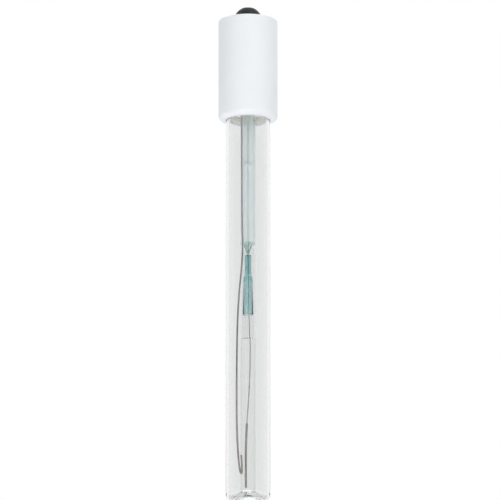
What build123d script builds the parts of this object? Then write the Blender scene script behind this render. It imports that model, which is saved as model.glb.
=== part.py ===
from build123d import *
import os
from math import acos, cos, degrees, radians, sin, sqrt, tan

# A combination pH electrode: a glass body with a bulb at its tip, a second glass tube inside it,
# and a cap on top. Millimetres, +Z along the body, up towards the cap. The origin is on the axis,
# in the plane of the cap's underside, where the electrode hangs in a holder.

# Cap: one moulded piece with a stepped bore
cap_diameter = 16.0
cap_length = 28.0
cap_top_thickness = 2.0
cap_top_edge = 0.6
cap_bottom_edge = 1.5
socket_depth = 10.0
cavity_diameter = 10.4

# Outer glass tube: its upper end is ground under size where the cement grips it
body_diameter = 12.0
body_wall = 1.0
body_length = 112.0
tip_length = 8.0
ground_depth = 0.3
fill_hole_diameter = 3.0
fill_hole_drop = 12.0

# Stem: the inner glass tube, flared at its foot, where the outer tube is sealed to it
stem_diameter = 4.0
stem_wall = 0.5
stem_proud = 1.5
flare_height = 1.5
seal_diameter = 6.0

# Bulb of thin sensing glass
bulb_diameter = 8.0
bulb_wall = 0.5

# Ceramic pin of the liquid junction, fused in the shoulder of the outer tube
frit_diameter = 0.6
frit_slope = 60.0
frit_turn = 7.0
frit_proud = 0.15

# Cement between tube and cap, bung that closes the outer chamber, resin cast above it
cement_thickness = 0.35
cement_recess = 0.8
bung_recess = 2.0
bung_height = 5.0
resin_cover = 0.8

# Cable gland: a rubber button, domed outside the cap and flanged inside it
gland_dome_radius = 3.8
gland_neck_diameter = 6.0
gland_flange_diameter = 9.2
gland_flange_thickness = 1.5
gland_tail_diameter = 5.2
gland_tail_length = 1.5
cable_bore_diameter = 3.2

# Inside the stem: insulating sleeve with a drawn-in end, bell-shaped glass seal, stopper
stem_clearance = 0.08
lead_clearance = 0.05
sleeve_reach = 34.3
sleeve_cone_length = 3.0
sleeve_tip_diameter = 0.7
bell_gap = 0.4
bell_neck_diameter = 1.8
bell_neck_length = 5.6
bell_shoulder_diameter = 2.5
bell_shoulder_length = 1.1
bell_skirt_length = 9.9
bell_wall = 0.3
bell_crown = 0.5
bell_peak = 0.8
stopper_height = 1.5

# Filling solution inside the stem and the bulb
air_space = 6.7
meniscus_depth = 0.4

# Silver wires: the lower end of each is thickened by its chloride coat
inner_wire_diameter = 0.25
inner_coat_diameter = 0.44
inner_coat_length = 17.8
inner_wire_rise = 0.9
reference_wire_diameter = 0.45
reference_coat_diameter = 0.5
reference_coat_length = 27.5
reference_wire_rise = 5.0
reference_gap = 0.25
reference_turn = 48.0

# Soldered joints at the top of the wires
joint_diameter = 1.2
joint_length = 3.0
joint_rise = 0.7
joint_edge = 0.25

# Radii that follow from the diameters
cap_radius = cap_diameter / 2
cavity_radius = cavity_diameter / 2
body_radius = body_diameter / 2
chamber_radius = body_radius - body_wall
ground_radius = body_radius - ground_depth
socket_radius = ground_radius + cement_thickness
stem_radius = stem_diameter / 2
bore_radius = stem_radius - stem_wall
seal_radius = seal_diameter / 2
bulb_radius = bulb_diameter / 2
gland_bore_radius = cable_bore_diameter / 2
inner_wire_radius = inner_wire_diameter / 2
inner_coat_radius = inner_coat_diameter / 2
reference_wire_radius = reference_wire_diameter / 2
reference_coat_radius = reference_coat_diameter / 2
lead_bore_radius = inner_wire_radius + lead_clearance
sleeve_radius = bore_radius - stem_clearance

# Levels inside the cap, from the cap's underside up
cavity_top = cap_length - cap_top_thickness
bung_top = bung_recess + bung_height
stem_top = socket_depth + stem_proud
sleeve_top = stem_top - stopper_height
joint_bottom = stem_top + joint_rise
joint_top = joint_bottom + joint_length
wire_top = joint_bottom + joint_length / 2
resin_top = joint_top + resin_cover
flange_bottom = cavity_top - gland_flange_thickness
gland_bottom = flange_bottom - gland_tail_length

# Levels of the pieces inside the stem, downwards
sleeve_end = -sleeve_reach - sleeve_cone_length
bell_top = sleeve_end - bell_gap
bell_neck_end = bell_top - bell_neck_length
bell_skirt_top = bell_neck_end - bell_shoulder_length
bell_rim = bell_skirt_top - bell_skirt_length
solution_top = bell_rim - air_space

# Tip: the shoulder is a round that starts on the straight wall and ends on the bulb, at the seal
shoulder_z = tip_length - body_length
bulb_z = bulb_radius - body_length
bulb_inner_radius = bulb_radius - bulb_wall
seal_z = bulb_z + sqrt(bulb_radius**2 - seal_radius**2)
seal_inset = body_radius - seal_radius
shoulder_radius = (seal_inset**2 + (shoulder_z - seal_z) ** 2) / (2 * seal_inset)
shoulder_centre = body_radius - shoulder_radius
seal_top = shoulder_z - shoulder_radius + body_wall
flare_top = seal_top + flare_height
inner_end = flare_top + inner_wire_rise
reference_end = shoulder_z + reference_wire_rise

# Where the reference wire runs beside the stem, inside the cap and below it
reference_place = stem_radius + reference_gap + reference_coat_radius
reference_x = -reference_place * cos(radians(reference_turn))
reference_y = -reference_place * sin(radians(reference_turn))

# The inner wire hangs a little askew below its seal
inner_route = [
    (0.0, 0.0, wire_top),
    (0.0, 0.0, bell_rim + 6.5),
    (0.46, 0.0, bell_rim - 3.5),
    (0.42, 0.0, bell_rim - 18.5),
    (-0.55, 0.0, inner_end + 12.4),
    (-0.4, 0.0, inner_end),
]

# The reference wire bows away from the stem and ends in a fold
reference_route = [
    (reference_x, reference_y, wire_top),
    (reference_x, reference_y, -sleeve_reach - 1.2),
    (-2.6, -1.3, bell_rim + 2.5),
    (-3.05, -0.9, bell_rim - 18.5),
    (-2.95, -1.3, reference_end + 10.5),
    (-2.15, -2.0, reference_end),
    (-1.35, -2.1, reference_end + 0.3),
    (-1.8, -2.0, reference_end + 5.2),
]

UP = (Align.CENTER, Align.CENTER, Align.MIN)


def rod(radius, low, high, x=0.0, y=0.0, mode=Mode.ADD):
    """A round bar along Z between two levels, in the part that is being built."""
    with Locations((x, y, low)):
        Cylinder(radius, high - low, align=UP, mode=mode)


def bends(points):
    """The radius of each corner of a route, the largest that its two runs leave room for."""
    radii = []
    for before, corner, after in zip(points, points[1:], points[2:]):
        run_in = Vector(*corner) - Vector(*before)
        run_out = Vector(*after) - Vector(*corner)
        half_turn = radians(run_in.get_angle(run_out)) / 2
        radii.append(0.45 * min(run_in.length, run_out.length) / tan(half_turn))
    return radii


def drawn_wire(points, radius, mode=Mode.ADD):
    """Round wire of one thickness, in straight runs joined by tangent bends."""
    with BuildLine(mode=Mode.PRIVATE) as route:
        FilletPolyline(*points, radius=bends(points))
    start = Plane(origin=route.line @ 0, z_dir=route.line % 0)
    with BuildSketch(start, mode=Mode.PRIVATE) as section:
        Circle(radius)
    sweep(section.sketch, path=route.line, mode=mode)


# Cap: a straight sleeve, rounded at both ends, bored for the tube, the resin and the gland
with BuildPart() as cap_shell:
    rod(cap_radius, 0, cap_length)
    rims = cap_shell.edges().filter_by(GeomType.CIRCLE).sort_by(Axis.Z)
    fillet(rims[-1], cap_top_edge)
    rims = cap_shell.edges().filter_by(GeomType.CIRCLE).sort_by(Axis.Z)
    fillet(rims[0], cap_bottom_edge)
    rod(socket_radius, 0, socket_depth, mode=Mode.SUBTRACT)
    rod(cavity_radius, 0, cavity_top, mode=Mode.SUBTRACT)
    rod(gland_neck_diameter / 2, 0, cap_length, mode=Mode.SUBTRACT)
cap_shell.part.label = "cap_shell"

# Gland: the flange holds it from inside, the dome seats on the cap's top
with BuildPart() as cable_gland:
    mouth_angle = degrees(acos(gland_bore_radius / gland_dome_radius))
    with BuildSketch(Plane.XZ):
        with BuildLine():
            dome = CenterArc((0, cap_length), gland_dome_radius, 0, mouth_angle)
            Polyline(
                dome @ 1,
                (gland_bore_radius, gland_bottom),
                (gland_tail_diameter / 2, gland_bottom),
                (gland_tail_diameter / 2, flange_bottom),
                (gland_flange_diameter / 2, flange_bottom),
                (gland_flange_diameter / 2, cavity_top),
                (gland_neck_diameter / 2, cavity_top),
                (gland_neck_diameter / 2, cap_length),
                dome @ 0,
            )
        make_face()
    revolve(axis=Axis.Z)
cable_gland.part.label = "cable_gland"

# Outer tube: a straight wall, a ground upper end and a round shoulder that turns in to the seal
with BuildPart() as outer_tube:
    with BuildSketch(Plane.XZ):
        with BuildLine():
            outside = TangentArc(
                (body_radius, shoulder_z), (seal_radius, seal_z), tangent=(0, -1)
            )
            inside = CenterArc(
                (shoulder_centre, shoulder_z), shoulder_radius - body_wall, 0, -90
            )
            Polyline(outside @ 1, (seal_radius, seal_top), inside @ 1)
            Polyline(
                inside @ 0,
                (chamber_radius, socket_depth),
                (ground_radius, socket_depth),
                (ground_radius, 0),
                (body_radius, 0),
                outside @ 0,
            )
        make_face()
    revolve(axis=Axis.Z)
    # fill hole of the outer chamber, in the back of the wall
    with BuildSketch(Plane(origin=(0, 0, -fill_hole_drop), z_dir=(0, 1, 0))):
        Circle(fill_hole_diameter / 2)
    extrude(amount=body_diameter, mode=Mode.SUBTRACT)
    # hole of the junction pin, square to the shoulder's surface
    frit_out = Vector(-sin(radians(frit_turn)), -cos(radians(frit_turn)), 0)
    frit_axis = frit_out * cos(radians(frit_slope)) - Vector(0, 0, sin(radians(frit_slope)))
    frit_origin = frit_out * shoulder_centre + Vector(0, 0, shoulder_z)
    with BuildSketch(Plane(origin=frit_origin, z_dir=frit_axis)):
        Circle(frit_diameter / 2)
    extrude(amount=shoulder_radius + body_wall, mode=Mode.SUBTRACT)
outer_tube.part.label = "outer_tube"

# Junction pin: flush with the shoulder outside, a little proud of the wall inside
with BuildPart() as junction_frit:
    frit_inner = shoulder_radius - body_wall - frit_proud
    with BuildSketch(Plane(origin=frit_origin + frit_axis * frit_inner, z_dir=frit_axis)):
        Circle(frit_diameter / 2)
    extrude(amount=body_wall + frit_proud)
junction_frit.part.label = "junction_frit"

# Stem: a straight tube that flares out at its foot
with BuildPart() as stem_tube:
    foot_radius = seal_radius - stem_wall
    with BuildSketch(Plane.XZ):
        with BuildLine():
            flare = TangentArc((stem_radius, flare_top), (seal_radius, seal_top), tangent=(0, -1))
            throat = TangentArc((bore_radius, flare_top), (foot_radius, seal_z), tangent=(0, -1))
            Polyline(flare @ 1, (seal_radius, seal_z), throat @ 1)
            Polyline(throat @ 0, (bore_radius, stem_top), (stem_radius, stem_top), flare @ 0)
        make_face()
    revolve(axis=Axis.Z)
stem_tube.part.label = "stem_tube"

# Bulb: a hollow ball, open at the seal
with BuildPart() as sensing_bulb:
    with Locations((0, 0, bulb_z)):
        Sphere(bulb_radius)
        Sphere(bulb_inner_radius, mode=Mode.SUBTRACT)
    split(bisect_by=Plane.XY.offset(seal_z), keep=Keep.BOTTOM)
sensing_bulb.part.label = "sensing_bulb"

# Cement: a thin sleeve between the ground end of the tube and the socket
with BuildPart() as cement_sleeve:
    rod(socket_radius, cement_recess, socket_depth)
    rod(ground_radius, cement_recess, socket_depth, mode=Mode.SUBTRACT)
cement_sleeve.part.label = "cement_sleeve"

# Bung: centres the stem in the outer tube and lets the reference wire through
with BuildPart() as chamber_bung:
    rod(chamber_radius, bung_recess, bung_top)
    rod(stem_radius, bung_recess, bung_top, mode=Mode.SUBTRACT)
    rod(reference_wire_radius, bung_recess, bung_top, reference_x, reference_y, Mode.SUBTRACT)
chamber_bung.part.label = "chamber_bung"

# Resin: cast over the bung, the end of the stem and the soldered joints
with BuildPart() as potting:
    rod(chamber_radius, bung_top, socket_depth)
    rod(cavity_radius, socket_depth, resin_top)
    rod(stem_radius, bung_top, stem_top, mode=Mode.SUBTRACT)
    rod(inner_wire_radius, stem_top, joint_bottom, mode=Mode.SUBTRACT)
    rod(joint_diameter / 2, joint_bottom, joint_top, mode=Mode.SUBTRACT)
    rod(reference_wire_radius, bung_top, joint_bottom, reference_x, reference_y, Mode.SUBTRACT)
    rod(joint_diameter / 2, joint_bottom, joint_top, reference_x, reference_y, Mode.SUBTRACT)
potting.part.label = "potting"


def soldered_joint(x, y, wire_radius):
    """A bead of solder round the end of a wire, rounded at both ends."""
    rod(joint_diameter / 2, joint_bottom, joint_top, x, y)
    fillet(edges().filter_by(GeomType.CIRCLE), joint_edge)
    rod(wire_radius, joint_bottom, wire_top, x, y, Mode.SUBTRACT)


with BuildPart() as signal_joint:
    soldered_joint(0, 0, inner_wire_radius)
signal_joint.part.label = "signal_joint"

with BuildPart() as reference_joint:
    soldered_joint(reference_x, reference_y, reference_wire_radius)
reference_joint.part.label = "reference_joint"

# Stopper: closes the top of the stem round the inner wire
with BuildPart() as stem_stopper:
    rod(bore_radius, sleeve_top, stem_top)
    rod(inner_wire_radius, sleeve_top, stem_top, mode=Mode.SUBTRACT)
stem_stopper.part.label = "stem_stopper"

# Sleeve: insulates the inner wire down to the seal and is drawn in at its end
with BuildPart() as lead_sleeve:
    with BuildSketch(Plane.XZ):
        with BuildLine():
            Polyline(
                (lead_bore_radius, sleeve_top),
                (sleeve_radius, sleeve_top),
                (sleeve_radius, -sleeve_reach),
                (sleeve_tip_diameter / 2, sleeve_end),
                (lead_bore_radius, sleeve_end),
                close=True,
            )
        make_face()
    revolve(axis=Axis.Z)
lead_sleeve.part.label = "lead_sleeve"

# Bell seal: a solid neck on the wire, a shoulder and a hollow skirt that is open below
with BuildPart() as bell_seal:
    crown_z = bell_skirt_top - bell_crown
    shoulder_inner = bell_shoulder_diameter / 2 - bell_wall
    with BuildSketch(Plane.XZ):
        with BuildLine():
            Polyline(
                (lead_bore_radius, bell_top),
                (bell_neck_diameter / 2, bell_top),
                (bell_neck_diameter / 2, bell_neck_end),
                (bell_shoulder_diameter / 2, bell_skirt_top),
                (sleeve_radius, bell_rim),
                (sleeve_radius - bell_wall, bell_rim),
                (shoulder_inner, crown_z),
                (lead_bore_radius, bell_skirt_top + bell_peak),
                close=True,
            )
        make_face()
    revolve(axis=Axis.Z)
bell_seal.part.label = "bell_seal"

# Inner wire, bare down to its coat
inner_coat_top = inner_end + inner_coat_length
with BuildPart() as inner_wire:
    drawn_wire(inner_route, inner_wire_radius)
    split(bisect_by=Plane.XY.offset(inner_coat_top), keep=Keep.TOP)
inner_wire.part.label = "inner_wire"

with BuildPart() as inner_chloride:
    drawn_wire(inner_route, inner_coat_radius)
    split(bisect_by=Plane.XY.offset(inner_coat_top), keep=Keep.BOTTOM)
inner_chloride.part.label = "inner_chloride"

# Reference wire, bare down to its coat, which takes in the fold
reference_coat_top = reference_end + reference_coat_length
with BuildPart() as reference_wire:
    drawn_wire(reference_route, reference_wire_radius)
    split(bisect_by=Plane.XY.offset(reference_coat_top), keep=Keep.TOP)
reference_wire.part.label = "reference_wire"

with BuildPart() as reference_chloride:
    drawn_wire(reference_route, reference_coat_radius)
    split(bisect_by=Plane.XY.offset(reference_coat_top), keep=Keep.BOTTOM)
reference_chloride.part.label = "reference_chloride"

# Inner solution: fills the bulb and the stem up to a hollow surface below the bell
with BuildPart() as inner_solution:
    bulb_mouth = sqrt(bulb_inner_radius**2 - (seal_z - bulb_z) ** 2)
    hollow = (0, solution_top - meniscus_depth)
    bottom = (0, bulb_z - bulb_inner_radius)
    with BuildSketch(Plane.XZ):
        with BuildLine():
            wetted = TangentArc((bore_radius, flare_top), (foot_radius, seal_z), tangent=(0, -1))
            ball = ThreePointArc((bulb_mouth, seal_z), (bulb_inner_radius, bulb_z), bottom)
            Line(wetted @ 1, ball @ 0)
            surface = TangentArc(hollow, (bore_radius, solution_top), tangent=(1, 0))
            Line(surface @ 1, wetted @ 0)
            Line(hollow, ball @ 1)
        make_face()
    revolve(axis=Axis.Z)
    drawn_wire(inner_route, inner_coat_radius + lead_clearance, Mode.SUBTRACT)
inner_solution.part.label = "inner_solution"

pieces = [
    cap_shell,
    cable_gland,
    outer_tube,
    junction_frit,
    stem_tube,
    sensing_bulb,
    cement_sleeve,
    chamber_bung,
    potting,
    signal_joint,
    reference_joint,
    stem_stopper,
    lead_sleeve,
    bell_seal,
    inner_wire,
    inner_chloride,
    reference_wire,
    reference_chloride,
    inner_solution,
]

os.makedirs("parts", exist_ok=True)
for piece in pieces:
    export_step(piece.part, f"parts/{piece.part.label}.step")
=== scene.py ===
from math import asin, atan2, cos, degrees, pi, radians, sin, sqrt

import bpy
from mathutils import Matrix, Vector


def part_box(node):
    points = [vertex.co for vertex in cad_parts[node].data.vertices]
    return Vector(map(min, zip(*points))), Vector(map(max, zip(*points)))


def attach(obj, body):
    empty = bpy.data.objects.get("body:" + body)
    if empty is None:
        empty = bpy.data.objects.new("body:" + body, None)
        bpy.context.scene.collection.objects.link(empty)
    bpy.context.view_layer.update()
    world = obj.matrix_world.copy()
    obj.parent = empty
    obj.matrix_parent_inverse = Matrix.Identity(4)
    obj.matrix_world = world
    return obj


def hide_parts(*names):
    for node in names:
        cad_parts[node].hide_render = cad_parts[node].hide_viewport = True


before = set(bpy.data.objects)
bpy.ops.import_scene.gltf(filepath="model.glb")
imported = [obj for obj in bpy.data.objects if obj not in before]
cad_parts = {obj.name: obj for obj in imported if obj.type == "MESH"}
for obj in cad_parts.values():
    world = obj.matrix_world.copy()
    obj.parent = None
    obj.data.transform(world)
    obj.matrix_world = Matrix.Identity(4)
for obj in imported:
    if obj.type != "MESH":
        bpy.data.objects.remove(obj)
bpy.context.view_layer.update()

# Camera: a very long lens far off, below the electrode and looking up at it. The photograph's frame
# is 134.8 mm wide at the electrode, whose axis lies a little left of the middle.
view_distance = 5.0
view_rise = radians(15)
view_width = 0.1348
view_centre_x = 0.00054
view_centre_z = -0.0361
sensor = 36.0

bpy.ops.object.select_all(action="DESELECT")
bpy.ops.object.camera_add(
    location=(
        view_centre_x,
        -view_distance * cos(view_rise),
        view_centre_z - view_distance * sin(view_rise),
    ),
    rotation=(pi / 2 + view_rise, 0, 0),
)
camera = bpy.context.object
camera.name = "camera"
camera.data.sensor_width = sensor
camera.data.lens = sensor * view_distance / view_width
bpy.context.scene.camera = camera


# Studio: a white surround, bright behind the electrode, above it and below it. Only a band on the
# side of the camera is dim, so that clear glass shows by what it mirrors and where it bends the view.
surround_front = 0.14
surround_back = 1.0
surround_ends = 0.95
surround_through = 0.98
front_reach = -0.5
back_reach = 0.95
band_middle = 0.26
band_dim = 0.12
band_end = 0.4
white = (1.0, 1.0, 1.0, 1.0)


def maths(tree, operation, *values):
    """The result of a Math node. Each value is a number or another node's output."""
    node = tree.nodes.new("ShaderNodeMath")
    node.operation = operation
    for socket, value in zip(node.inputs, values):
        if isinstance(value, bpy.types.NodeSocket):
            tree.links.new(value, socket)
        else:
            socket.default_value = value
    return node.outputs["Value"]


def scaled(tree, value, span, levels, rise="LINEAR"):
    """A value that goes from one level to another over its span, and stays there beyond it."""
    node = tree.nodes.new("ShaderNodeMapRange")
    node.interpolation_type = rise
    node.inputs["From Min"].default_value, node.inputs["From Max"].default_value = span
    node.inputs["To Min"].default_value, node.inputs["To Max"].default_value = levels
    tree.links.new(value, node.inputs["Value"])
    return node.outputs["Result"]


surround = bpy.data.worlds.new("surround")
surround.use_nodes = True
sky = surround.node_tree
direction = sky.nodes.new("ShaderNodeTexCoord")
along = sky.nodes.new("ShaderNodeSeparateXYZ")
path = sky.nodes.new("ShaderNodeLightPath")
sky.links.new(direction.outputs["Generated"], along.inputs["Vector"])
behind = scaled(
    sky,
    along.outputs["Y"],
    (front_reach, back_reach),
    (surround_front, surround_back),
    "SMOOTHSTEP",
)
off_band = maths(sky, "ABSOLUTE", maths(sky, "SUBTRACT", along.outputs["Z"], band_middle))
ends = scaled(sky, off_band, (band_dim, band_end), (0.0, surround_ends), "SMOOTHSTEP")
unmirrored = maths(sky, "LESS_THAN", path.outputs["Glossy Depth"], 0.5)
unscattered = maths(sky, "LESS_THAN", path.outputs["Diffuse Depth"], 0.5)
straight = maths(sky, "MULTIPLY", unmirrored, unscattered)
through = maths(sky, "MULTIPLY", straight, surround_through)
clear_view = maths(sky, "MAXIMUM", through, path.outputs["Is Camera Ray"])
around = maths(sky, "MAXIMUM", behind, ends)
background = sky.nodes["Background"]
background.inputs["Color"].default_value = white
sky.links.new(maths(sky, "MAXIMUM", clear_view, around), background.inputs["Strength"])
bpy.context.scene.world = surround

# Lamps: two large soft boxes on the camera's side. The one above is to the right, and the one below
# is to the left, so that the upright glass mirrors neither of them to the camera.
for name, place, size, power in (
    ("key_lamp", (0.6, -0.85, 1.15), 1.0, 6.6),
    ("fill_lamp", (-0.16, -1.05, -0.88), 0.9, 8.6),
):
    bpy.ops.object.select_all(action="DESELECT")
    bpy.ops.object.light_add(type="AREA", location=place)
    lamp = bpy.context.object
    lamp.name = name
    lamp.data.size = size
    lamp.data.energy = power
    lamp.rotation_mode = "QUATERNION"
    lamp.rotation_quaternion = lamp.location.to_track_quat("Z", "Y")

# Floor: a plain pale floor, far enough below the hanging electrode to stay out of its glass.
floor_height = -6.2
floor_size = 60
floor_colour = (0.86, 0.86, 0.86, 1.0)
floor_roughness = 0.9
floor_whiteness = 0.85

bpy.ops.object.select_all(action="DESELECT")
bpy.ops.mesh.primitive_plane_add(size=floor_size, location=(0, 0, floor_height))
floor = bpy.context.object
floor.name = "floor"
floor_paint = bpy.data.materials.new("floor_paint")
floor_paint.use_nodes = True
paint = floor_paint.node_tree
painted = paint.nodes["Principled BSDF"]
painted.inputs["Base Color"].default_value = floor_colour
painted.inputs["Roughness"].default_value = floor_roughness
lit = paint.nodes.new("ShaderNodeEmission")
lit.inputs["Color"].default_value = white
seen = paint.nodes.new("ShaderNodeLightPath")
floor_mix = paint.nodes.new("ShaderNodeMixShader")
whitened = maths(paint, "MULTIPLY", seen.outputs["Is Camera Ray"], floor_whiteness)
paint.links.new(whitened, floor_mix.inputs["Fac"])
paint.links.new(painted.outputs["BSDF"], floor_mix.inputs[1])
paint.links.new(lit.outputs["Emission"], floor_mix.inputs[2])
paint.links.new(floor_mix.outputs["Shader"], paint.nodes["Material Output"].inputs["Surface"])
floor.data.materials.append(floor_paint)

# Light bends many times between the tube, the stem, the solution and the bulb.
bounces = 32
bpy.context.scene.view_settings.view_transform = "Standard"
bpy.context.scene.cycles.max_bounces = bounces
bpy.context.scene.cycles.transmission_bounces = bounces
bpy.context.scene.cycles.transparent_max_bounces = bounces


# Cap: a straight white sleeve, injection moulded in one piece, rounded at both ends and bored
# for the tube, the resin and the gland. It is cemented to the glass.
MM = 0.001
ring_steps = 128
small_ring_steps = 96
weld = 0.0015
crease = radians(35)
cap_bottom, cap_top = [corner.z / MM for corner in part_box("cap_shell")]
cap_radius = 7.99
cap_top_edge = 0.6
cap_bottom_edge = 1.5
socket_radius = 6.05
socket_depth = 10.0
cavity_radius = 5.2
cavity_top = cap_top - 2.0
gland_hole_radius = 3.0
cap_colour = (0.862, 0.892, 0.918)
cap_shade = (0.842, 0.872, 0.900)
noise_low = 0.3
noise_high = 0.7


def arc(centre, radius, start, end, steps=12):
    """Points of an arc in the outline's plane, from one angle to another, in degrees."""
    turns = [radians(start + (end - start) * step / steps) for step in range(steps + 1)]
    return [(centre[0] + radius * cos(turn), centre[1] + radius * sin(turn)) for turn in turns]


def turned(name, outline, steps=ring_steps):
    """A piece turned or blown round the axis. One vertex is extruded from point to point of the
    closed outline, given in millimetres as radius and height, and the line is spun a full turn."""
    bpy.ops.object.select_all(action="DESELECT")
    radius, height = outline[0]
    bpy.ops.mesh.primitive_plane_add(size=MM, location=(radius * MM, 0, height * MM))
    piece = bpy.context.object
    piece.name = name
    piece.data.name = name
    bpy.ops.object.transform_apply(location=True, rotation=False, scale=False)
    bpy.ops.object.mode_set(mode="EDIT")
    bpy.ops.mesh.select_all(action="SELECT")
    bpy.ops.mesh.merge(type="CENTER")
    for before, after in zip(outline, outline[1:] + outline[:1]):
        step = ((after[0] - before[0]) * MM, 0, (after[1] - before[1]) * MM)
        bpy.ops.mesh.extrude_region_move(TRANSFORM_OT_translate={"value": step})
    bpy.ops.mesh.select_all(action="SELECT")
    bpy.ops.mesh.spin(steps=steps, angle=2 * pi, center=(0, 0, 0), axis=(0, 0, 1))
    bpy.ops.mesh.select_all(action="SELECT")
    bpy.ops.mesh.remove_doubles(threshold=weld * MM)
    bpy.ops.mesh.delete_loose(use_verts=True, use_edges=True, use_faces=False)
    bpy.ops.mesh.select_all(action="SELECT")
    bpy.ops.mesh.normals_make_consistent(inside=False)
    bpy.ops.object.mode_set(mode="OBJECT")
    bpy.ops.object.shade_smooth_by_angle(angle=crease)
    return piece


def new_finish(name):
    """A material, its node tree and its surface shader."""
    material = bpy.data.materials.new(name)
    material.use_nodes = True
    return material, material.node_tree, material.node_tree.nodes["Principled BSDF"]


def grain(tree, size, detail=3.0, stretch=(1.0, 1.0, 1.0)):
    """Noise in the piece's own coordinates, with grains of about the given size in millimetres."""
    place = tree.nodes.new("ShaderNodeTexCoord")
    fitted = tree.nodes.new("ShaderNodeMapping")
    fitted.inputs["Scale"].default_value = stretch
    noise = tree.nodes.new("ShaderNodeTexNoise")
    noise.inputs["Scale"].default_value = 1 / (size * MM)
    noise.inputs["Detail"].default_value = detail
    tree.links.new(place.outputs["Object"], fitted.inputs["Vector"])
    tree.links.new(fitted.outputs["Vector"], noise.inputs["Vector"])
    return noise.outputs["Fac"]


def colour_between(tree, shader, pattern, first, second):
    """Base colour that wanders between two colours with a pattern."""
    ramp = tree.nodes.new("ShaderNodeValToRGB")
    ramp.color_ramp.elements[0].position = noise_low
    ramp.color_ramp.elements[0].color = (*first, 1.0)
    ramp.color_ramp.elements[1].position = noise_high
    ramp.color_ramp.elements[1].color = (*second, 1.0)
    tree.links.new(pattern, ramp.inputs["Fac"])
    tree.links.new(ramp.outputs["Color"], shader.inputs["Base Color"])


def roughness_between(tree, shader, pattern, smooth, rough):
    """Roughness that wanders between two values with a pattern."""
    wander = scaled(tree, pattern, (noise_low, noise_high), (smooth, rough))
    tree.links.new(wander, shader.inputs["Roughness"])


def relief(tree, shader, pattern, depth):
    """A pattern as fine relief of the given depth in millimetres."""
    bump = tree.nodes.new("ShaderNodeBump")
    bump.inputs["Strength"].default_value = 1.0
    bump.inputs["Distance"].default_value = depth * MM
    tree.links.new(pattern, bump.inputs["Height"])
    tree.links.new(bump.outputs["Normal"], shader.inputs["Normal"])


def dress(piece, slot, node, *finishes):
    """Gives a piece its finishes, hangs it on the root body and hides the CAD node it stands for."""
    for finish in finishes:
        piece.data.materials.append(finish)
    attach(piece, "root")
    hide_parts(node)


cap_outline = [
    (socket_radius, cap_bottom),
    *arc((cap_radius - cap_bottom_edge, cap_bottom + cap_bottom_edge), cap_bottom_edge, -90, 0),
    *arc((cap_radius - cap_top_edge, cap_top - cap_top_edge), cap_top_edge, 0, 90, 8),
    (gland_hole_radius, cap_top),
    (gland_hole_radius, cavity_top),
    (cavity_radius, cavity_top),
    (cavity_radius, socket_depth),
    (socket_radius, socket_depth),
]
cap = turned("cap", cap_outline)
white_plastic, tree, shader = new_finish("white_plastic")
colour_between(tree, shader, grain(tree, 9.0), cap_colour, cap_shade)
roughness_between(tree, shader, grain(tree, 1.5), 0.28, 0.38)
relief(tree, shader, grain(tree, 0.25, 4.0), 0.004)
shader.inputs["Subsurface Weight"].default_value = 0.15
shader.inputs["Subsurface Radius"].default_value = (1.0, 1.0, 1.0)
shader.inputs["Subsurface Scale"].default_value = 0.6 * MM
shader.inputs["IOR"].default_value = 1.46
dress(cap, "white_plastic", "cap_shell", white_plastic)


# Gland: a black rubber button, moulded in one piece and pushed through the cap's top. Its flange
# holds it from inside, and the cable passes through the hole in its dome.
gland_bore_radius = 1.6
gland_dome_radius = 3.8
gland_flange_radius = 4.6
gland_tail_radius = 2.6
gland_flange_bottom = cavity_top - 1.5
gland_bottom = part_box("cable_gland")[0].z / MM
gland_lip = 0.12
rubber_dark = (0.007, 0.008, 0.009)
rubber_light = (0.014, 0.015, 0.016)

lip_radius = gland_bore_radius + gland_lip
dome = arc((0, cap_top), gland_dome_radius, 0, 90 - degrees(asin(lip_radius / gland_dome_radius)), 16)
gland_outline = [
    (gland_hole_radius, cavity_top),
    (gland_hole_radius, cap_top),
    *dome,
    *arc((lip_radius, dome[-1][1] - gland_lip), gland_lip, 100, 180, 5),
    (gland_bore_radius, gland_bottom),
    (gland_tail_radius, gland_bottom),
    (gland_tail_radius, gland_flange_bottom),
    (gland_flange_radius, gland_flange_bottom),
    (gland_flange_radius, cavity_top),
]
gland = turned("gland", gland_outline)
black_rubber, tree, shader = new_finish("black_rubber")
colour_between(tree, shader, grain(tree, 1.2), rubber_dark, rubber_light)
roughness_between(tree, shader, grain(tree, 0.8), 0.38, 0.55)
relief(tree, shader, grain(tree, 0.15, 4.0), 0.006)
shader.inputs["Specular IOR Level"].default_value = 0.3
dress(gland, "black_rubber", "cable_gland", black_rubber)


# Glass body: drawn tube of 12 mm, ground at its upper end for the cement. Its lower end is worked
# in the flame to a round shoulder that turns in to the seal with the stem.
body_radius = 6.0
body_wall = 1.0
ground_radius = 5.7
seal_radius = 3.0
stem_radius = 2.0
stem_bore = 1.5
shoulder_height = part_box("sensing_bulb")[0].z / MM + 8.0
seal_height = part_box("sensing_bulb")[1].z / MM
fused = 0.01
fill_hole_radius = 1.5
fill_hole_height = -12.0
round_sides = 48
above_hole = fill_hole_height + 3.0
below_hole = fill_hole_height - 3.0
body_tint = (0.93, 0.937, 0.937)


def curve_down(start, end, steps=14):
    """Points of the arc that leaves its start straight down and ends at its end."""
    across = end[0] - start[0]
    radius = (across**2 + (end[1] - start[1]) ** 2) / (2 * abs(across))
    side = 1 if across > 0 else -1
    centre = (start[0] + side * radius, start[1])
    last = atan2(end[1] - centre[1], side * (centre[0] - end[0]))
    turns = [last * step / steps for step in range(steps + 1)]
    return [(centre[0] - side * radius * cos(turn), centre[1] + radius * sin(turn)) for turn in turns]


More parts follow.
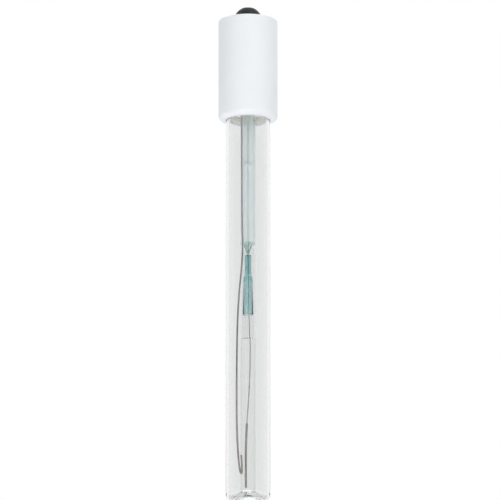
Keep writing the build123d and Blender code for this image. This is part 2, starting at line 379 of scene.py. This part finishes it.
def clear_glass(name, tint, ior=1.5, streaks=0.0):
    """Clear glass that lets lamplight pass. Streaks are the fine waves that drawing leaves in it,
    given as their depth in millimetres."""
    material, tree, shader = new_finish(name)
    shader.inputs["Base Color"].default_value = (*tint, 1.0)
    shader.inputs["Transmission Weight"].default_value = 1.0
    shader.inputs["Roughness"].default_value = 0.0
    shader.inputs["IOR"].default_value = ior
    if streaks:
        relief(tree, shader, grain(tree, 1.6, 2.0, (1.0, 1.0, 0.04)), streaks)
    passing = tree.nodes.new("ShaderNodeBsdfTransparent")
    passing.inputs["Color"].default_value = (*(sqrt(part) for part in tint), 1.0)
    ray = tree.nodes.new("ShaderNodeLightPath")
    lamp_ray = maths(tree, "MAXIMUM", ray.outputs["Is Shadow Ray"], ray.outputs["Is Diffuse Ray"])
    choice = tree.nodes.new("ShaderNodeMixShader")
    tree.links.new(lamp_ray, choice.inputs["Fac"])
    tree.links.new(shader.outputs["BSDF"], choice.inputs[1])
    tree.links.new(passing.outputs["BSDF"], choice.inputs[2])
    tree.links.new(choice.outputs["Shader"], tree.nodes["Material Output"].inputs["Surface"])
    return material


shoulder_across = body_radius - seal_radius
shoulder_drop = shoulder_height - seal_height
shoulder_radius = (shoulder_across**2 + shoulder_drop**2) / (2 * shoulder_across)
shoulder_centre = (body_radius - shoulder_radius, shoulder_height)
seal_top = shoulder_height - shoulder_radius + body_wall
body_outline = [
    (body_radius, 0.0),
    (body_radius, above_hole),
    (body_radius, below_hole),
    *curve_down((body_radius, shoulder_height), (seal_radius, seal_height)),
    (seal_radius - fused, seal_top),
    *arc(shoulder_centre, shoulder_radius - body_wall, -90, 0),
    (body_radius - body_wall, below_hole),
    (body_radius - body_wall, above_hole),
    (body_radius - body_wall, socket_depth),
    (ground_radius, socket_depth),
    (ground_radius, 0.0),
]
body = turned("glass_body", body_outline)
bpy.ops.object.select_all(action="DESELECT")
bpy.ops.mesh.primitive_cylinder_add(
    vertices=round_sides,
    radius=fill_hole_radius * MM,
    depth=4 * body_wall * MM,
    location=(0, body_radius * MM, fill_hole_height * MM),
    rotation=(pi / 2, 0, 0),
)
drill = bpy.context.object
hole = body.modifiers.new("fill_hole", "BOOLEAN")
hole.object = drill
hole.operation = "DIFFERENCE"
hole.solver = "EXACT"
bpy.ops.object.select_all(action="DESELECT")
bpy.context.view_layer.objects.active = body
body.select_set(True)
bpy.ops.object.modifier_apply(modifier="fill_hole")
bpy.ops.object.shade_smooth_by_angle(angle=crease)
bpy.data.objects.remove(drill)
body_glass = clear_glass("body_glass", body_tint, 1.5, 0.0015)
dress(body, "body_glass", "outer_tube", body_glass)


# Stem: a 4 mm tube on the axis, flared at its foot and fused there to the shoulder of the body.
# The filling solution wets its bore below the bell seal, and the sleeve fills it above.
stem_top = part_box("stem_tube")[1].z / MM
flare_top = seal_top + 1.5
solution_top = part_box("inner_solution")[1].z / MM
foot_bore = seal_radius - 0.5
contact_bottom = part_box("lead_sleeve")[0].z / MM + 2.5
solution_ior = 1.34
stem_tint = (0.98, 0.99, 0.985)
wetted_tint = (0.99, 0.995, 0.99)


def paint_where(piece, slot, chosen):
    """Gives another of the piece's finishes to the faces that are chosen by their centre, in
    millimetres, and their normal."""
    for face in piece.data.polygons:
        if chosen(face.center / MM, face.normal):
            face.material_index = slot


def looks_in(centre, normal):
    """Whether a face looks towards the axis."""
    return normal.x * centre.x + normal.y * centre.y < 0


stem_outline = [
    (stem_radius, stem_top),
    *curve_down((stem_radius, flare_top), (seal_radius, seal_top)),
    (seal_radius, seal_height - fused),
    (foot_bore, seal_height - fused),
    *reversed(curve_down((stem_bore, flare_top), (foot_bore, seal_height))),
    (stem_bore, solution_top),
    (stem_bore, contact_bottom),
    (stem_bore, stem_top),
]
stem = turned("stem", stem_outline)
stem_glass = clear_glass("stem_glass", stem_tint, 1.5, 0.001)
wetted_glass = clear_glass("wetted_glass", wetted_tint, 1.5 / solution_ior, 0.001)
joined_side = bpy.data.materials.new("joined_side")
joined_side.use_nodes = True
tree = joined_side.node_tree
clear = tree.nodes.new("ShaderNodeBsdfTransparent")
tree.links.new(clear.outputs["BSDF"], tree.nodes["Material Output"].inputs["Surface"])
dress(stem, "body_glass", "stem_tube", stem_glass, wetted_glass, joined_side)
paint_where(stem, 1, lambda centre, normal: looks_in(centre, normal) and centre.z < solution_top)
paint_where(stem, 2, lambda centre, normal: looks_in(centre, normal) and centre.z > contact_bottom)


# Bulb: a ball of thin pH-sensitive glass, gathered and blown on the open foot of the stem. Its
# inside is wetted by the solution.
bulb_radius = 4.0
bulb_wall = 0.5
bulb_bore = bulb_radius - bulb_wall
bulb_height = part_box("sensing_bulb")[0].z / MM + bulb_radius
bulb_steps = 40
mouth_outside = degrees(asin((seal_height - bulb_height) / bulb_radius))
mouth_inside = degrees(asin((seal_height - bulb_height) / bulb_bore))
sensing_tint = (0.93, 0.965, 0.975)

bulb_outline = [
    *arc((0, bulb_height), bulb_radius, mouth_outside, -90, bulb_steps),
    *arc((0, bulb_height), bulb_bore, -90, mouth_inside, bulb_steps),
]
bulb = turned("bulb", bulb_outline)
sensing_glass = clear_glass("sensing_glass", sensing_tint, 1.52, 0.0012)
dress(bulb, "sensing_glass", "sensing_bulb", sensing_glass, wetted_glass)


def inside_bulb(centre, normal):
    """Whether a face is nearer to the bulb's middle than the middle of its wall."""
    reach = sqrt(centre.x**2 + centre.y**2 + (centre.z - bulb_height) ** 2)
    return reach < bulb_radius - bulb_wall / 2


paint_where(bulb, 1, inside_bulb)


# Solution: the sealed filling of the stem and the bulb. Only its surface shows, a shallow hollow
# across the stem's bore, because the glass around the rest is wetted.
meniscus = 0.4
meniscus_rim = 0.05
hollow_radius = (stem_bore**2 + meniscus**2) / (2 * meniscus)
rim_angle = degrees(asin(stem_bore / hollow_radius))
solution_gap = 0.01
solution_tint = (0.98, 0.99, 0.995)
solution_clearness = 0.7

solution_outline = [
    *arc((0, solution_top - meniscus + hollow_radius), hollow_radius, -90, -90 + rim_angle, 12),
    (stem_bore - solution_gap, solution_top - meniscus_rim),
    *curve_down((stem_bore - solution_gap, flare_top), (foot_bore - solution_gap, seal_height)),
    *arc((0, bulb_height), bulb_bore - solution_gap, mouth_inside, -90, bulb_steps),
]
solution = turned("solution", solution_outline)
solution_surface = clear_glass("solution", solution_tint, solution_ior, 0.001)
tree = solution_surface.node_tree
outside = tree.nodes["Material Output"].inputs["Surface"]
faint = tree.nodes.new("ShaderNodeMixShader")
faint.inputs["Fac"].default_value = solution_clearness
clear = tree.nodes.new("ShaderNodeBsdfTransparent")
tree.links.new(outside.links[0].from_socket, faint.inputs[1])
tree.links.new(clear.outputs["BSDF"], faint.inputs[2])
tree.links.new(faint.outputs["Shader"], outside)
dress(solution, "solution", "inner_solution", solution_surface, joined_side)
hollow_bottom = solution_top - meniscus - 0.01
paint_where(solution, 1, lambda centre, normal: centre.z < hollow_bottom or normal.z < 0.3)


# Junction: a porous ceramic pin, fused through the body's shoulder. It is flush with the glass
# outside and stands a little proud inside, where the reference solution reaches it.
pin_radius = 0.3
pin_slope = radians(60)
pin_turn = radians(7)
pin_proud = 0.15
pin_edge = 0.04
pin_low = shoulder_radius - body_wall - pin_proud
pin_middle = (pin_low + shoulder_radius) / 2
pin_reach = shoulder_centre[0] + pin_middle * cos(pin_slope)
ceramic_light = (0.50, 0.46, 0.42)
ceramic_dark = (0.24, 0.22, 0.21)

bpy.ops.object.select_all(action="DESELECT")
bpy.ops.mesh.primitive_cylinder_add(
    vertices=round_sides,
    radius=pin_radius * MM,
    depth=(shoulder_radius - pin_low) * MM,
    location=(
        -sin(pin_turn) * pin_reach * MM,
        -cos(pin_turn) * pin_reach * MM,
        (shoulder_centre[1] - pin_middle * sin(pin_slope)) * MM,
    ),
    rotation=(pi / 2 - pin_slope + pi, 0, -pin_turn),
)
junction = bpy.context.object
junction.name = "junction_pin"
bpy.ops.object.mode_set(mode="EDIT")
bpy.ops.mesh.select_all(action="SELECT")
bpy.ops.mesh.bevel(offset=pin_edge * MM, segments=3, affect="EDGES")
bpy.ops.object.mode_set(mode="OBJECT")
bpy.ops.object.transform_apply(location=True, rotation=True, scale=True)
bpy.ops.object.shade_smooth_by_angle(angle=crease)
ceramic, tree, shader = new_finish("porous_ceramic")
colour_between(tree, shader, grain(tree, 0.12, 4.0), ceramic_light, ceramic_dark)
relief(tree, shader, grain(tree, 0.08, 4.0), 0.015)
shader.inputs["Roughness"].default_value = 0.9
dress(junction, "frit_ceramic", "junction_frit", ceramic)


# Cement: a thin collar of set cement that holds the ground end of the glass in the cap's socket.
# Its lower end is wiped off round just above the cap's edge.
cement_bottom, cement_top = [corner.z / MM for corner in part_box("cement_sleeve")]
cement_inside = ground_radius + 0.01
cement_outside = socket_radius - 0.005
cement_light = (0.95, 0.95, 0.90)
cement_dark = (0.88, 0.88, 0.82)

cement_outline = [
    (cement_inside, cement_top),
    (cement_inside, cement_bottom + 0.12),
    (cement_inside + 0.09, cement_bottom),
    (cement_outside - 0.055, cement_bottom),
    (cement_outside, cement_bottom + 0.06),
    (cement_outside, cement_top),
]
cement_collar = turned("cement_collar", cement_outline)
cement, tree, shader = new_finish("cement")
colour_between(tree, shader, grain(tree, 0.8, 4.0), cement_light, cement_dark)
relief(tree, shader, grain(tree, 0.2, 4.0), 0.02)
shader.inputs["Roughness"].default_value = 0.8
dress(cement_collar, "cement", "cement_sleeve", cement)


# Bung: a moulded rubber disc with softened rims. It centres the stem in the body, closes the
# outer chamber and lets the reference wire through.
bung_bottom, bung_top = [corner.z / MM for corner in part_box("chamber_bung")]
bung_radius = body_radius - body_wall - 0.01
bung_bore = stem_radius + 0.01
bung_rim = 0.4
bung_light = (0.94, 0.94, 0.89)
bung_dark = (0.87, 0.87, 0.81)

bung_outline = [
    (bung_bore, bung_top),
    (bung_bore, bung_bottom + bung_rim / 2),
    (stem_radius + bung_rim / 2, bung_bottom),
    *arc((bung_radius - bung_rim, bung_bottom + bung_rim), bung_rim, -90, 0, 6),
    (bung_radius, bung_top),
]
bung = turned("bung", bung_outline)
bung_rubber, tree, shader = new_finish("bung_rubber")
colour_between(tree, shader, grain(tree, 1.5, 4.0), bung_light, bung_dark)
roughness_between(tree, shader, grain(tree, 0.6), 0.5, 0.7)
relief(tree, shader, grain(tree, 0.2, 4.0), 0.01)
dress(bung, "bung_rubber", "chamber_bung", bung_rubber)


# Resin: black resin, cast in the cap over the bung and the soldered joints. It seals the top of
# the body and holds the gland, and none of it shows outside.
resin_light = (0.020, 0.020, 0.023)
resin_dark = (0.012, 0.012, 0.014)


def refinish(node, material):
    """Puts a finish on a CAD node whose shape stays."""
    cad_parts[node].data.materials.clear()
    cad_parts[node].data.materials.append(material)


resin, tree, shader = new_finish("resin")
colour_between(tree, shader, grain(tree, 2.0, 4.0), resin_light, resin_dark)
roughness_between(tree, shader, grain(tree, 3.0), 0.12, 0.22)
refinish("potting", resin)


# Soldered joints: beads of solder that join the two wires to the cable's cores, under the resin.
# They are soldered by hand before the resin is cast.
solder_light = (0.62, 0.62, 0.64)
solder_dark = (0.48, 0.48, 0.50)

solder, tree, shader = new_finish("solder")
colour_between(tree, shader, grain(tree, 0.5, 4.0), solder_light, solder_dark)
roughness_between(tree, shader, grain(tree, 0.3), 0.2, 0.4)
shader.inputs["Metallic"].default_value = 1.0
refinish("signal_joint", solder)
refinish("reference_joint", solder)


# Stopper: a short plug of the bung's rubber, pushed into the top of the stem. It keeps the resin
# out of the stem while it is cast.
refinish("stem_stopper", bung_rubber)


# Sleeve: pale blue plastic tubing that insulates the inner wire and fills the stem. Its lower end
# is drawn to a point, which is clearer and greener than the rest.
sleeve_bottom, sleeve_top = [corner.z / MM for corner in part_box("lead_sleeve")]
sleeve_radius = 1.42
sleeve_bore = 0.175
sleeve_thin = 0.35
sleeve_tip = 0.35
sleeve_cone = 3.0
cone_top = sleeve_bottom + sleeve_cone
sleeve_light = (0.95, 0.99, 0.99)
sleeve_shade = (0.90, 0.965, 0.97)
tip_light = (0.62, 0.82, 0.75)
tip_shade = (0.50, 0.74, 0.66)
core_light = (0.94, 0.97, 0.98)
core_shade = (0.88, 0.93, 0.95)
drawn_out = (1, 1, 0.3)

sleeve_outline = [
    (sleeve_bore, sleeve_top),
    (sleeve_radius, sleeve_top),
    (sleeve_radius, cone_top + 0.3),
    (sleeve_radius - 0.02, cone_top),
    (sleeve_radius - sleeve_thin, sleeve_bottom + sleeve_cone * 0.72),
    (sleeve_tip + 0.25, sleeve_bottom + sleeve_cone * 0.22),
    (sleeve_tip, sleeve_bottom + 0.05),
    (sleeve_tip - 0.05, sleeve_bottom),
    (sleeve_bore, sleeve_bottom),
]
sleeve = turned("lead_sleeve_tubing", sleeve_outline, small_ring_steps)
sleeve_plastic, tree, shader = new_finish("pale_blue_tubing")
colour_between(tree, shader, grain(tree, 2.5, 3.0, drawn_out), sleeve_light, sleeve_shade)
roughness_between(tree, shader, grain(tree, 0.5), 0.45, 0.55)
shader.inputs["Transmission Weight"].default_value = 0.7
shader.inputs["IOR"].default_value = 1.04
sleeve_tip_plastic, tree, shader = new_finish("pale_blue_tubing_tip")
colour_between(tree, shader, grain(tree, 2.5, 3.0, drawn_out), tip_light, tip_shade)
roughness_between(tree, shader, grain(tree, 0.5), 0.05, 0.12)
shader.inputs["Transmission Weight"].default_value = 0.95
shader.inputs["IOR"].default_value = 1.45
sleeve_core, tree, shader = new_finish("pale_blue_tubing_core")
colour_between(tree, shader, grain(tree, 1.0, 3.0, drawn_out), core_light, core_shade)
shader.inputs["Roughness"].default_value = 0.6
dress(sleeve, "pale_blue_sleeve", "lead_sleeve", sleeve_plastic, sleeve_tip_plastic, sleeve_core)
paint_where(sleeve, 2, lambda centre, normal: sqrt(centre.x**2 + centre.y**2) < 2 * sleeve_bore)
paint_where(sleeve, 1, lambda centre, normal: centre.z < cone_top)


# Bell seal: teal sealing glass, a solid neck drawn down on the wire, a shoulder and a hollow skirt
# that stands in the stem's bore.
bell_bottom, bell_top = [corner.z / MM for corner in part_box("bell_seal")]
bell_neck = 0.9
bell_neck_edge = 0.3
bell_shoulder = 1.25
bell_rim_radius = 1.42
bell_wall = 0.3
bell_bore = 0.175
neck_end = bell_top - 5.6
skirt_top = neck_end - 1.1
crown = skirt_top - 0.5
peak = skirt_top + 0.8
lip = bell_wall / 2
teal_tint = (0.93, 0.98, 0.98)
teal_clear = (1.0, 1.0, 1.0)
teal_streak = (0.74, 0.86, 0.87)

bell_outline = [
    (bell_bore, bell_top),
    *arc((bell_neck - bell_neck_edge, bell_top - bell_neck_edge), bell_neck_edge, 90, 0, 6),
    (bell_neck - 0.06, (bell_top + neck_end) / 2),
    (bell_neck, neck_end + 0.2),
    (bell_neck + 0.05, neck_end - 0.15),
    (bell_shoulder - 0.05, skirt_top + 0.25),
    (bell_shoulder, skirt_top),
    (bell_rim_radius, bell_bottom + lip),
    *arc((bell_rim_radius - lip, bell_bottom + lip), lip, 0, -180, 8),
    (bell_shoulder - bell_wall, crown - 0.5),
    (bell_shoulder - bell_wall - 0.1, crown - 0.05),
    (0.45, crown + 0.75),
    (bell_bore, peak),
]
bell = turned("bell", bell_outline, small_ring_steps)
teal_glass = clear_glass("teal_glass", teal_tint)
tree = teal_glass.node_tree
shader = tree.nodes["Principled BSDF"]
depth_colour = tree.nodes.new("ShaderNodeVolumeAbsorption")
depth_colour.inputs["Color"].default_value = (0.30, 0.72, 0.73, 1.0)
depth_colour.inputs["Density"].default_value = 760.0
tree.links.new(depth_colour.outputs["Volume"], tree.nodes["Material Output"].inputs["Volume"])
colour_between(tree, shader, grain(tree, 0.7, 4.0, (1, 1, 0.12)), teal_clear, teal_streak)
dress(bell, "teal_glass", "bell_seal", teal_glass)


# Inner wire: thin silver wire, drawn through the sleeve and the bell. It hangs a little askew in
# the solution, and its lower end carries a thicker coat of grey-brown silver chloride.
wire_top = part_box("inner_wire")[1].z / MM
wire_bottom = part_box("inner_chloride")[0].z / MM
inner_coat_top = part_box("inner_chloride")[1].z / MM
inner_radius = 0.125
inner_coat_radius = 0.22
inner_route = [
    (0.0, 0.0, wire_top),
    (0.0, 0.0, bell_bottom + 6.5),
    (0.46, 0.0, bell_bottom - 3.5),
    (0.42, 0.0, bell_bottom - 18.5),
    (-0.55, 0.0, wire_bottom + 12.4),
    (-0.4, 0.0, wire_bottom),
]
silver_dark = (0.72, 0.71, 0.69)
silver_bright = (0.86, 0.85, 0.83)
chloride_dark = (0.26, 0.235, 0.225)
chloride_light = (0.40, 0.37, 0.35)
drawn_wire = (1, 1, 0.2)
wire_crease = radians(50)


def wire(name, route, radius, low, high):
    """A stretch of round wire: the route as a smooth curve with a round section, made a mesh,
    and cut off square at two heights in millimetres."""
    line = bpy.data.curves.new(name, "CURVE")
    line.dimensions = "3D"
    line.resolution_u = 24
    line.bevel_depth = radius * MM
    line.bevel_resolution = 6
    line.use_fill_caps = True
    spline = line.splines.new("NURBS")
    spline.points.add(len(route) - 1)
    for point, place in zip(spline.points, route):
        point.co = (*(value * MM for value in place), 1.0)
    spline.use_endpoint_u = True
    spline.order_u = 3
    bent = bpy.data.objects.new(name, line)
    bpy.context.scene.collection.objects.link(bent)
    bpy.ops.object.select_all(action="DESELECT")
    bpy.context.view_layer.objects.active = bent
    bent.select_set(True)
    bpy.ops.object.convert(target="MESH")
    piece = bpy.context.object
    piece.name = name
    bpy.ops.object.mode_set(mode="EDIT")
    for height, above in ((low, False), (high, True)):
        bpy.ops.mesh.select_all(action="SELECT")
        bpy.ops.mesh.remove_doubles(threshold=weld * MM)
        bpy.ops.mesh.select_all(action="SELECT")
        bpy.ops.mesh.bisect(
            plane_co=(0, 0, height * MM),
            plane_no=(0, 0, 1),
            use_fill=True,
            clear_outer=above,
            clear_inner=not above,
        )
    bpy.ops.mesh.select_all(action="SELECT")
    bpy.ops.mesh.normals_make_consistent(inside=False)
    bpy.ops.object.mode_set(mode="OBJECT")
    bpy.ops.object.shade_smooth_by_angle(angle=wire_crease)
    return piece


inner_wire = wire("inner_silver_wire", inner_route, inner_radius, inner_coat_top, wire_top)
silver, tree, shader = new_finish("silver")
colour_between(tree, shader, grain(tree, 0.6, 3.0, drawn_wire), silver_dark, silver_bright)
roughness_between(tree, shader, grain(tree, 0.5, 3.0, drawn_wire), 0.25, 0.45)
shader.inputs["Metallic"].default_value = 1.0
dress(inner_wire, "silver", "inner_wire", silver)

inner_coat = wire("inner_wire_coat", inner_route, inner_coat_radius, wire_bottom, inner_coat_top)
chloride, tree, shader = new_finish("silver_chloride")
colour_between(tree, shader, grain(tree, 1.4, 4.0), chloride_dark, chloride_light)
roughness_between(tree, shader, grain(tree, 0.5), 0.5, 0.75)
relief(tree, shader, grain(tree, 0.12, 4.0), 0.02)
dress(inner_coat, "silver_chloride", "inner_chloride", chloride)


# Reference wire: thicker silver wire in the outer chamber, tarnished towards its lower end. It bows
# away from the stem, and its end is bent back up in a narrow fold. Chloride coats its lower part.
reference_radius = 0.225
reference_coat_radius = 0.25
reference_place = 2.5
reference_turn = radians(48)
reference_x = -reference_place * cos(reference_turn)
reference_y = -reference_place * sin(reference_turn)
reference_end = shoulder_height + 5.0
reference_coat_bottom, reference_coat_top = [
    corner.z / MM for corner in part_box("reference_chloride")
]
reference_route = [
    (reference_x, reference_y, wire_top),
    (reference_x, reference_y, cone_top + 7),
    (-1.25, -2.15, sleeve_bottom - 0.5),
    (-2.75, -1.2, bell_bottom + 2.5),
    (-3.05, -0.9, bell_bottom - 18.5),
    (-2.95, -1.3, reference_end + 10.5),
    (-2.15, -2.0, reference_end),
    (-1.35, -2.1, reference_end + 0.3),
    (-1.8, -2.0, reference_end + 5.2),
]
tarnish_dark = (0.40, 0.385, 0.38)
tarnish_light = (0.56, 0.545, 0.53)
untarnished = (0.74, 0.73, 0.72, 1.0)
tarnish_start = -14.0
tarnish_full = -44.0

reference_wire = wire(
    "reference_silver_wire", reference_route, reference_radius, reference_coat_top, wire_top
)
tarnished, tree, shader = new_finish("tarnished_silver")
colour_between(tree, shader, grain(tree, 0.9, 4.0, drawn_out), tarnish_dark, tarnish_light)
tarnish = shader.inputs["Base Color"].links[0].from_socket
place = tree.nodes.new("ShaderNodeTexCoord")
level = tree.nodes.new("ShaderNodeSeparateXYZ")
tree.links.new(place.outputs["Object"], level.inputs["Vector"])
reach = scaled(tree, level.outputs["Z"], (tarnish_start * MM, tarnish_full * MM), (0.0, 1.0))
spread = tree.nodes.new("ShaderNodeMix")
spread.data_type = "RGBA"
spread.inputs["A"].default_value = untarnished
tree.links.new(reach, spread.inputs["Factor"])
tree.links.new(tarnish, spread.inputs["B"])
tree.links.new(spread.outputs["Result"], shader.inputs["Base Color"])
roughness_between(tree, shader, grain(tree, 0.5, 3.0, drawn_wire), 0.3, 0.5)
shader.inputs["Metallic"].default_value = 1.0
dress(reference_wire, "silver", "reference_wire", tarnished)
reference_coat = wire(
    "reference_wire_coat",
    reference_route,
    reference_coat_radius,
    reference_coat_bottom - 1,
    reference_coat_top,
)
dress(reference_coat, "silver_chloride", "reference_chloride", chloride)
